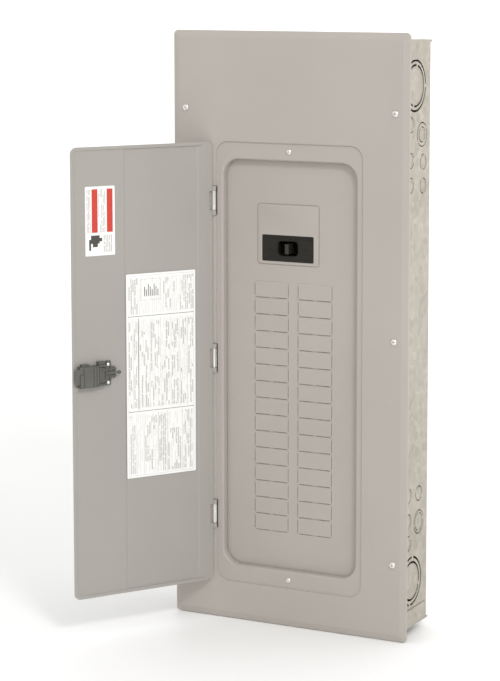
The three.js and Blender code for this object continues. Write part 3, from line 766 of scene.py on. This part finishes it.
def place_screws(prefix, count, shank_r, length, head_r, head_height, seat):
    """Real screws in the places of the CAD screws, each turned its own way."""
    random.seed(prefix)
    for i in range(1, count + 1):
        low, high = node_box(f"{prefix}_{i}")
        screw = screw_mesh(shank_r, length, head_r, head_height)
        screw.data.transform(Matrix.Rotation(random.uniform(0, math.pi), 4, "Y"))
        moved(screw, (low[0] + high[0]) / 2, seat, (low[2] + high[2]) / 2)
        finish_piece(screw, f"{prefix}_{i}_head", "enclosure", [f"{prefix}_{i}"])


def make_hinges():
    for i in (1, 2, 3):
        low, high = node_box(f"hinge_pin_{i}")
        length = high[2] - low[2]
        profile = [(1.2, 0), (1.7, 0.25), (2.0, 0.8), (2.0, length - 0.8), (1.7, length - 0.25),
                   (1.2, length)]
        pin = turned(profile, "Z", "pin", ZINC, 24)
        moved(pin, HINGE_X, HINGE_Y, low[2])
        finish_piece(pin, f"hinge_pin_{i}_rod", "enclosure", [f"hinge_pin_{i}"])


# ---- door -----------------------------------------------------------------------------------
def on_door(distance):
    """x of a place on the shut door, by its distance from the hinge pins."""
    return HINGE_X + distance


def door_section():
    """Section of the door's sheet: a hinge strip that turns slightly out, a middle band pressed
    outward between two creases, and a rounded free edge."""
    step, soft, curl = 0.7, 1.6, -0.5
    a, b = 28, 151
    line = [(DOOR["edge"], curl), (7, curl * 0.8), (11, curl * 0.25), (14, 0),
            (a - soft, 0), (a - soft / 2, -0.1), (a + soft / 2, -step + 0.1),
            (a + soft, -step), (b - soft, -step), (b - soft / 2, -step + 0.1), (b + soft / 2, -0.1),
            (b + soft, 0), (DOOR["length"] - 0.5, 0)]
    outside = [(on_door(s), DOOR_OUT + d) for s, d in line]
    tip = DOOR["length"]
    nose = [(on_door(tip - 0.15), DOOR_OUT + 0.15), (on_door(tip), DOOR_OUT + 0.6),
            (on_door(tip - 0.15), DOOR_IN - 0.15)]
    inside = [(on_door(s), DOOR_IN + d) for s, d in reversed(line)]
    return outside + nose + inside


def door_hem():
    """The folded edge along the free side, the top and the bottom."""
    width, start = 5, 20
    half, r = DOOR["h"] / 2, DOOR["r"]
    x0, x1 = on_door(start), on_door(DOOR["length"])
    steps = 8

    def edge(inset, y):
        points = [(x0, y, DISH_Z - half + inset)]
        for first, z in ((-90, DISH_Z - half + r), (0, DISH_Z + half - r)):
            for i in range(steps + 1):
                angle = math.radians(first + 90 * i / steps)
                points.append((x1 - r + (r - inset) * math.cos(angle), y,
                               z + (r - inset) * math.sin(angle)))
        points.append((x0, y, DISH_Z + half - inset))
        return points

    top = DOOR_IN + 1.0
    rows = [edge(0.35, DOOR_IN - 0.5), edge(0, DOOR_IN - 0.1), edge(0, top - 0.45),
            edge(0.15, top - 0.15), edge(0.5, top), edge(width - 0.4, top),
            edge(width, top - 0.3), edge(width, DOOR_IN - 0.5)]
    count = len(rows[0])
    vertices = [p for row in rows for p in row]
    faces = []
    for a in range(len(rows)):
        b = (a + 1) % len(rows)
        for i in range(count - 1):
            faces.append((a * count + i, a * count + i + 1, b * count + i + 1, b * count + i))
    faces.append(tuple(a * count for a in range(len(rows))))
    faces.append(tuple(a * count + count - 1 for a in range(len(rows))))
    return mesh_object("hem", vertices, faces, SHADED_DOOR_PAINT)


def make_door():
    half = DOOR["h"] / 2
    door = prism_z(door_section(), DISH_Z - half, DISH_Z + half, "door", SHADED_DOOR_PAINT)
    outline = rounded_rect(DOOR["length"] - DOOR["edge"] + 0.2, DOOR["h"] - 0.1, DOOR["r"],
                           on_door((DOOR["length"] + DOOR["edge"]) / 2 - 0.1), DISH_Z, 8)
    boolean(door, prism_y(outline, DOOR_OUT - 4, DOOR_IN + 4), "INTERSECT")
    boolean(door, door_hem(), "UNION")
    near, far = 14.8, 22  # Ends of a knuckle, from the middle of its hinge.
    knuckle_r = 3.5
    pull = rounded_rect(24, 26, 1, on_door(216), LATCH_Z, 3)
    cuts, rolls, webs = [], [], []
    for z in hinge_heights():
        notch = rounded_rect(8, 2 * near, 1.5, on_door(4), z, 4)
        cuts.append(prism_y(notch, DOOR_OUT - 2, DOOR_IN + 2))
        for side in (-1, 1):
            z0, z1 = sorted((z + side * near, z + side * far))
            length = z1 - z0
            knuckle = turned([(knuckle_r - 0.4, 0), (knuckle_r, 0.4), (knuckle_r, length - 0.4),
                              (knuckle_r - 0.4, length)], "Z", "knuckle", SHADED_DOOR_PAINT, 24)
            rolls.append(moved(knuckle, HINGE_X, HINGE_Y, z0))
            webs.append(block(on_door(2.6), on_door(5), DOOR_OUT + 0.02, DOOR_IN - 0.02,
                              z0 + 0.2, z1 - 0.2))
    cuts.append(prism_y(pull, DOOR_OUT - 3, DOOR_IN + 3))
    boolean(door, joined("door_cuts", cuts), "DIFFERENCE")
    boolean(door, joined("webs", webs), "UNION")
    boolean(door, joined("rolls", rolls), "UNION")
    bores = [turned([(2.3, -30), (2.3, 30)], "Z", "bore", SHADED_DOOR_PAINT, 24) for _ in hinge_heights()]
    for bore, z in zip(bores, hinge_heights()):
        moved(bore, HINGE_X, HINGE_Y, z)
    boolean(door, joined("bores", bores), "DIFFERENCE")
    recoat(door, SHADED_DOOR_PAINT)
    smooth(door, 32)
    settle_normals(door)
    finish_piece(door, "door_leaf", "door", ["door_panel"])


# ---- latch ----------------------------------------------------------------------------------
def latch_block(s0, s1, z0, z1, d0, d1):
    """A block behind the shut door: distances from the pins, heights above the latch's middle and
    depths behind the door's inner face."""
    return block(on_door(s0), on_door(s1), DOOR_IN + d0, DOOR_IN + d1,
                 LATCH_Z + z0, LATCH_Z + z1, NYLON)


def add_all(base, parts):
    for part in parts:
        boolean(base, part, "UNION")


def cut_all(base, parts):
    for part in parts:
        boolean(base, part, "DIFFERENCE")


def make_latch_housing():
    out = DOOR_OUT - DOOR_IN
    housing = latch_block(199, 230, -16.5, 14.5, 0.3, 11.5)
    add_all(housing, [
        latch_block(186.5, 199.5, -15.5, 15.5, 0.3, 9.8),
        latch_block(187.5, 199, 14, 19.8, 0.3, 7),
        latch_block(214, 226, 14, 17.5, 0.3, 8),
        latch_block(204.4, 227.6, -12.6, 12.6, out - 1, 2),
        latch_block(201, 231, -16.5, 16.5, out - 1.8, out - 0.3),
    ])
    cut_all(housing, [
        latch_block(180, 240, -11.6, 11.6, 5, 9.5),
        latch_block(206, 225, -9.5, 9.5, out - 3, 6),
        latch_block(198.8, 200.3, -18, 18, 8.4, 12),
        latch_block(188.6, 196.8, -6, 6, 8, 12),
        latch_block(188.6, 196.8, 8.6, 12.4, 8, 12),
        latch_block(188.6, 196.8, -12.4, -8.6, 8, 12),
        latch_block(203.4, 204.6, -18, 18, 10.7, 12),
        latch_block(208, 209.2, -18, 18, 10.7, 12),
        latch_block(223.5, 225, -18, 18, 10.7, 12),
        latch_block(225, 231, 3, 16, 9.8, 12),
    ])
    soften(housing, 0.4, 2, 40)
    finish_piece(housing, "latch_body", "door", ["latch_housing"])


def make_latch_slider():
    out = DOOR_OUT - DOOR_IN
    slider = latch_block(190, 236.5, -11.3, 11.3, 5.3, 9.2)
    ramp = prism_z([(on_door(230.8), DOOR_IN + 9.6), (on_door(237), DOOR_IN + 6.6),
                    (on_door(237.5), DOOR_IN + 9.6)], LATCH_Z - 15, LATCH_Z + 15)
    boolean(slider, ramp, "DIFFERENCE")
    knob = turned([(0.05, 0), (1.6, 0.2), (2.5, 1.1), (2.7, 2.6), (2.2, 4.2), (1.3, 5)],
                  "Y", "knob", NYLON, 20)
    add_all(slider, [
        latch_block(164.5, 190.5, 0.6, 3.4, 5.6, 8.4),
        moved(knob, on_door(164.8), DOOR_IN + 4.4, LATCH_Z + 2),
        latch_block(214, 218, -8, 8, out - 1.2, 5.6),
    ])
    cut_all(slider, [latch_block(213, 214.6, -9, 9, out + 0.2 + 1.4 * k, out + 0.7 + 1.4 * k)
                     for k in range(3)])
    soften(slider, 0.4, 2, 40)
    finish_piece(slider, "latch_bolt_slide", "latch_bolt", ["latch_slider"])


def make_latch_spring():
    """The moulded star that pushes the bolt out: a hub, two curved legs and two points."""
    outline = [(184.8, 8), (184, 13), (184.6, 19.5), (177, 19.5), (176.6, 13.5), (175, 9.5),
               (170.6, 10.6), (167.8, 7.4), (170.8, 2), (167.8, -3.4),
               (170.6, -6.6), (175, -5.5), (176.6, -10),
               (177, -16.5), (184.6, -16.5), (184, -10), (184.8, -4)]
    points = [(on_door(s), LATCH_Z + z) for s, z in outline]
    spring = prism_y(points, DOOR_IN + 0.3, DOOR_IN + 3.6, "spring", NYLON)
    cut_all(spring, [
        latch_block(178.4, 179.6, -13, -4, 2, 5),
        latch_block(178.4, 179.6, 8, 16, 2, 5),
        latch_block(171.5, 174.5, -2.2, 6.2, 2.4, 5),
    ])
    soften(spring, 0.35, 2, 30)
    finish_piece(spring, "latch_spring_cross", "door", ["latch_spring"])


def make_latch_screws():
    """The two small screws that hold the latch's spring."""
    for i, z in ((1, 14.5), (2, -12.5)):
        profile = [(0.05, 1.5), (1.6, 1.35), (2.4, 0.9), (2.6, 0.3), (2.6, 0), (1.2, 0), (1.2, -3)]
        screw = turned(profile, "Y", "latch_screw", ZINC, 20)
        moved(screw, on_door(181.6), DOOR_IN + 3.9, LATCH_Z + z)
        finish_piece(screw, f"latch_screw_{i}_head", "door", [f"latch_screw_{i}"])


# ---- labels: plain stock with rules and bars, no lettering -------------------------------------
LABEL_Y = DOOR_IN + 0.3
LABEL_SHEET = 0.25
INK_RISE = 0.02


def label_sheet(name, s0, s1, z0, z1, nodes):
    sheet = prism_y(rounded_rect(s1 - s0, z1 - z0, 1.2, on_door((s0 + s1) / 2), (z0 + z1) / 2, 4),
                    LABEL_Y - LABEL_SHEET, LABEL_Y + LABEL_SHEET, "label", PAPER)
    finish_piece(sheet, name, "door", nodes)


def ink_marks(name, marks, material, rise=INK_RISE):
    """Flat printed rectangles [s0, s1, z0, z1] just proud of the label."""
    vertices, faces = [], []
    y0, y1 = LABEL_Y + LABEL_SHEET - 0.05, LABEL_Y + LABEL_SHEET + rise
    for s0, s1, z0, z1 in marks:
        base = len(vertices)
        for y in (y0, y1):
            vertices += [(on_door(s0), y, z0), (on_door(s1), y, z0),
                         (on_door(s1), y, z1), (on_door(s0), y, z1)]
        faces += [tuple(base + k for k in q) for q in (
            (4, 5, 6, 7), (3, 2, 1, 0), (0, 1, 5, 4), (1, 2, 6, 5), (2, 3, 7, 6), (3, 0, 4, 7))]
    finish_piece(mesh_object(name, vertices, faces, material), name, "door")


def vertical_print(s0, s1, z0, z1, columns, rng, density=0.6):
    """Columns of fine strokes that read as small printing turned on its side."""
    marks = []
    pitch = (s1 - s0) / columns
    for c in range(columns):
        s = s0 + pitch * (c + 0.3)
        z = z0
        while z < z1 - 2:
            length = rng.uniform(4, 22)
            if rng.random() < density:
                marks.append((s, s + pitch * 0.5, z, min(z + length, z1)))
            z += length + rng.uniform(0.8, 2.5)
    return marks


def frame_rules(s0, s1, z0, z1, width=0.5):
    return [(s0, s1, z0, z0 + width), (s0, s1, z1 - width, z1),
            (s0, s0 + width, z0, z1), (s1 - width, s1, z0, z1)]


def make_directory_label():
    low, high = -214.7, 91.3
    s0, s1 = 33.5, 149.5
    label_sheet("circuit_directory", s0, s1, low, high, ["circuit_directory_label"])
    rng = random.Random(7)
    light, dark = [], []
    upper, lower = 27.5, -115.2
    for z in (upper, lower):
        dark.append((s0 + 3, s1 - 3, z, z + 0.7))
    light += frame_rules(s0 + 3, s1 - 3, low + 3, high - 3, 0.4)
    # The lower block: a table of wide columns.
    for s in (56, 82, 97, 121, 133):
        light.append((s, s + 0.5, low + 4, lower - 2))
    for a, b, foot, head, columns, amount in (
            (s0 + 5, 55, 6, 4, 6, 0.5), (58, 81, 6, 30, 7, 0.6), (84, 96, 6, 6, 4, 0.7),
            (99, 120, 10, 8, 6, 0.45), (135, s1 - 5, 6, 6, 3, 0.6)):
        light += vertical_print(a, b, low + foot, lower - head, columns, rng, amount)
    # The middle block: long rules with notes between them.
    for s in (47, 60, 75, 92, 110, 129, 138):
        light.append((s, s + 0.45, lower + 3, upper - 3))
    dark.append((129, 129.9, lower + 3, upper - 3))
    for a, b, amount in ((37, 46, 0.6), (49, 59, 0.35), (62, 74, 0.5), (77, 91, 0.3),
                         (94, 109, 0.5), (112, 128, 0.35), (132, 137, 0.7), (140, 146, 0.6)):
        light += vertical_print(a, b, lower + 6, upper - 8, max(2, int((b - a) / 3)), rng, amount)
    # The upper block: a small wiring diagram and two columns of notes.
    for k in range(8):
        dark.append((96 + 3.2 * k, 97.2 + 3.2 * k, 57, 67 + (k % 3) * 4))
    light += frame_rules(92, 126, 51, 83, 0.5)
    light += vertical_print(36, 60, 33, 85, 8, rng, 0.7)
    light += vertical_print(64, 88, 37, 83, 7, rng, 0.45)
    light += vertical_print(130, 146, 31, 85, 5, rng, 0.75)
    pale = []
    for bottom, top in ((low + 6, lower - 4), (lower + 5, upper - 5), (upper + 4, high - 6)):
        pale += vertical_print(s0 + 5, s1 - 5, bottom, top, 34, rng, 0.62)
    ink_marks("circuit_directory_tints", pale, PALE_INK, INK_RISE / 2)
    ink_marks("circuit_directory_print", light, INK)
    ink_marks("circuit_directory_rules", dark, DARK_INK)


def make_notice_label():
    s0, s1, z0, z1 = 167, 215, 122.3, 223.8
    label_sheet("notice_sheet", s0, s1, z0, z1, ["notice_label"])
    rng = random.Random(3)
    red = [(170.5, 180, z0 + 34, z1 - 4), (195, 204.5, z0 + 34, z1 - 4)]
    ink_marks("notice_bars", red, RED_INK)
    light = vertical_print(182, 194, z0 + 34, z1 - 4, 5, rng, 0.85)
    light += vertical_print(206, 213, z0 + 34, z1 - 4, 3, rng, 0.8)
    light += vertical_print(171, 186, z0 + 5, z0 + 30, 5, rng, 0.8)
    ink_marks("notice_print", light, INK)
    dark = [(192, 206, z0 + 18, z0 + 30), (195, 203, z0 + 13, z0 + 18.5),
            (206, 209, z0 + 8, z0 + 24), (188, 192.5, z0 + 21, z0 + 26)]
    ink_marks("notice_marks", dark, DARK_INK)


# ---- main breaker ------------------------------------------------------------------------------
def make_breaker_case():
    low, high = node_box("main_breaker_case")
    front = low[1]
    nose, shoulder = 0.8, -88.6
    body = block(low[0], high[0], shoulder, high[1], low[2], high[2], BLACK)
    half = WINDOW["w"] / 2
    face = block(WINDOW["x"] - half + nose, WINDOW["x"] + half - nose, front, shoulder + 1,
                 WINDOW["z0"] + nose, WINDOW["z1"] - nose, BLACK)
    boolean(body, face, "UNION")
    hx, hy, hz = (v / MM for v in THROW["pos_m"])
    slot = prism_y(rounded_rect(33, 22, 6, hx, hz, 8), front - 2, hy + 9, "slot", BLACK)
    step = prism_y(rounded_rect(36, 25, 7.5, hx, hz, 8), front - 2, front + 0.7, "step", BLACK)
    cuts = [slot, step, block(low[0] - 2, high[0] + 2, front - 2, front + 0.5,
                              WINDOW["z1"] - 5.2, WINDOW["z1"] - 4.4)]
    for side in ("left", "right"):
        lug_low, lug_high = node_box(f"main_lug_{side}")
        cuts.append(block(lug_low[0] - 1, lug_high[0] + 1, -60, -27, high[2] - 12, high[2] + 1))
    for x in (-36.5, 22.5):
        cuts.append(moved(turned([(2.2, -1), (2.2, 0.8)], "Y", "dot", BLACK, 20), x, front, hz))
    cut_all(body, cuts)
    recoat(body, BLACK)
    smooth(body, 30)
    soften(body, 0.5, 2, 40)
    finish_piece(body, "main_breaker_body", "enclosure", ["main_breaker_case"])


def make_breaker_handle():
    hx, hy, hz = (v / MM for v in THROW["pos_m"])
    low, _ = node_box("main_breaker_handle")
    half = 7.5
    tip = low[1]
    flank = [(-5, hy), (-4.2, tip + 8), (-3.4, tip + 1.6), (-2.4, tip + 0.4), (-1, tip)]
    outline = [(hx + x, y) for x, y in flank + mirrored(flank)]
    lever = prism_z(outline, hz - half, hz + half, "lever", BLACK_GLOSS)
    hub = moved(turned([(7, -half), (7, half)], "Z", "hub", BLACK_GLOSS, 28), hx, hy, hz)
    boolean(lever, hub, "UNION")
    grooves = [block(hx + x, hx + x + 2.4, tip + 2.5 + 2 * k, tip + 3.2 + 2 * k, hz - 20, hz + 20)
               for x in (-6, 3.6) for k in range(3)]
    boolean(lever, joined("grip", grooves), "DIFFERENCE")
    recoat(lever, BLACK_GLOSS)
    smooth(lever, 32)
    soften(lever, 0.5, 3, 45)
    finish_piece(lever, "main_breaker_lever", "breaker_handle",
                 ["main_breaker_handle"])


# ---- CAD nodes that keep their shape ----------------------------------------------------------
KEPT = {
    "galvanised": (GALVANISED, 0.4), "zinc": (ZINC, 0.25), "aluminium": (ALUMINIUM, 0.4),
    "black_plastic": (BLACK, 0.5), "green_steel": (GREEN, 0.2), "painted": (PAINT, 0.3),
    "grey_plastic": (NYLON, 0.3), "paper": (PAPER, 0.0),
}


def dress_kept_nodes():
    """Gives each CAD node that still shows its material and softly rounded edges."""
    slots = {row["node"]: row["material_slot"] for row in frame["record"]["subparts"]}
    for name, shown in frame["nodes"].items():
        if shown.hide_render:
            continue
        material, width = KEPT[slots[name]]
        recoat(shown, material)
        weld = shown.modifiers.new("shared_corners", "WELD")
        weld.merge_threshold = 0.01 * MM
        if width:
            soften(shown, width, 2, 40)


# ---- studio ----------------------------------------------------------------------------------
def make_floor():
    """A pale floor that sweeps up into a pale backdrop far behind."""
    half, front, back, radius = 14000, -9000, 5000, 2500
    z = COVER_LOW[2] - 0.5
    profile = [(front, z), (back - radius, z)]
    for i in range(1, 17):
        angle = math.pi / 2 * i / 16
        y = back - radius + radius * math.sin(angle)
        profile.append((y, z + radius * (1 - math.cos(angle))))
    profile.append((back, z + 9000))
    vertices = [(x, y, height) for y, height in profile for x in (-half, half)]
    faces = [(2 * i, 2 * i + 1, 2 * i + 3, 2 * i + 2) for i in range(len(profile) - 1)]
    stock = label_stock("studio_paint", (0.93, 0.93, 0.925))
    mesh_object("studio_sweep", vertices, faces, stock)


def area_light(name, place, aim, size, power):
    data = bpy.data.lights.new(name, "AREA")
    data.shape = "RECTANGLE"
    data.size, data.size_y = size
    data.energy = power
    lamp = bpy.data.objects.new(name, data)
    lamp.location = place
    lamp.rotation_euler = (Vector(aim) - Vector(place)).to_track_quat("-Z", "Y").to_euler()
    bpy.context.scene.collection.objects.link(lamp)


def make_lights():
    """White surroundings, a key from high on the right, an edge light and a backdrop wash."""
    world = bpy.data.worlds.new("studio")
    world.use_nodes = True
    background = world.node_tree.nodes["Background"]
    background.inputs["Color"].default_value = (1, 1, 1, 1)
    background.inputs["Strength"].default_value = 1.0
    bpy.context.scene.world = world
    bpy.context.scene.view_settings.view_transform = "Standard"
    area_light("key", (2.2, -2.2, 2.3), (0, -0.1, 0.1), (0.7, 0.7), 50)
    area_light("edge", (1.9, 1.3, -0.15), (0.18, 0, -0.1), (0.5, 0.9), 7)
    area_light("wash", (0, 2.2, 2.8), (0, 5, 2.2), (3, 2), 90)


def make_camera():
    """A long lens from the right and a little above, shifted down to frame the panel."""
    yaw, pitch = math.radians(27.1), math.radians(6.99)
    data = bpy.data.cameras.new("camera")
    data.lens = 118.5
    data.sensor_width = 36
    data.shift_x = -0.0286
    data.shift_y = -0.1395
    data.clip_end = 100
    camera = bpy.data.objects.new("camera", data)
    right = Vector((math.cos(yaw), math.sin(yaw), 0))
    level = math.cos(pitch)
    ahead = Vector((-math.sin(yaw) * level, math.cos(yaw) * level, -math.sin(pitch)))
    up = right.cross(ahead)
    turn = Matrix((right, up, -ahead)).transposed().to_4x4()
    camera.matrix_world = Matrix.Translation((1.4714, -3.04, 0.5344)) @ turn
    bpy.context.scene.collection.objects.link(camera)
    bpy.context.scene.camera = camera


make_camera()
make_cover()
make_dead_front()
make_box_wrap()
make_end_wall(1, "top_end_wall")
make_end_wall(-1, "bottom_end_wall")
place_screws("cover_screw", 6, 2.4, 12, 5, 2.8, FRONT - 0.05)
place_screws("dead_front_screw", 2, 2.2, 16, 4.2, 2.4, FRONT + SEAT_DROP - 0.05)
make_hinges()
make_door()
make_latch_housing()
make_latch_slider()
make_latch_spring()
make_latch_screws()
make_directory_label()
make_notice_label()
make_breaker_case()
make_breaker_handle()
dress_kept_nodes()
make_floor()
make_lights()
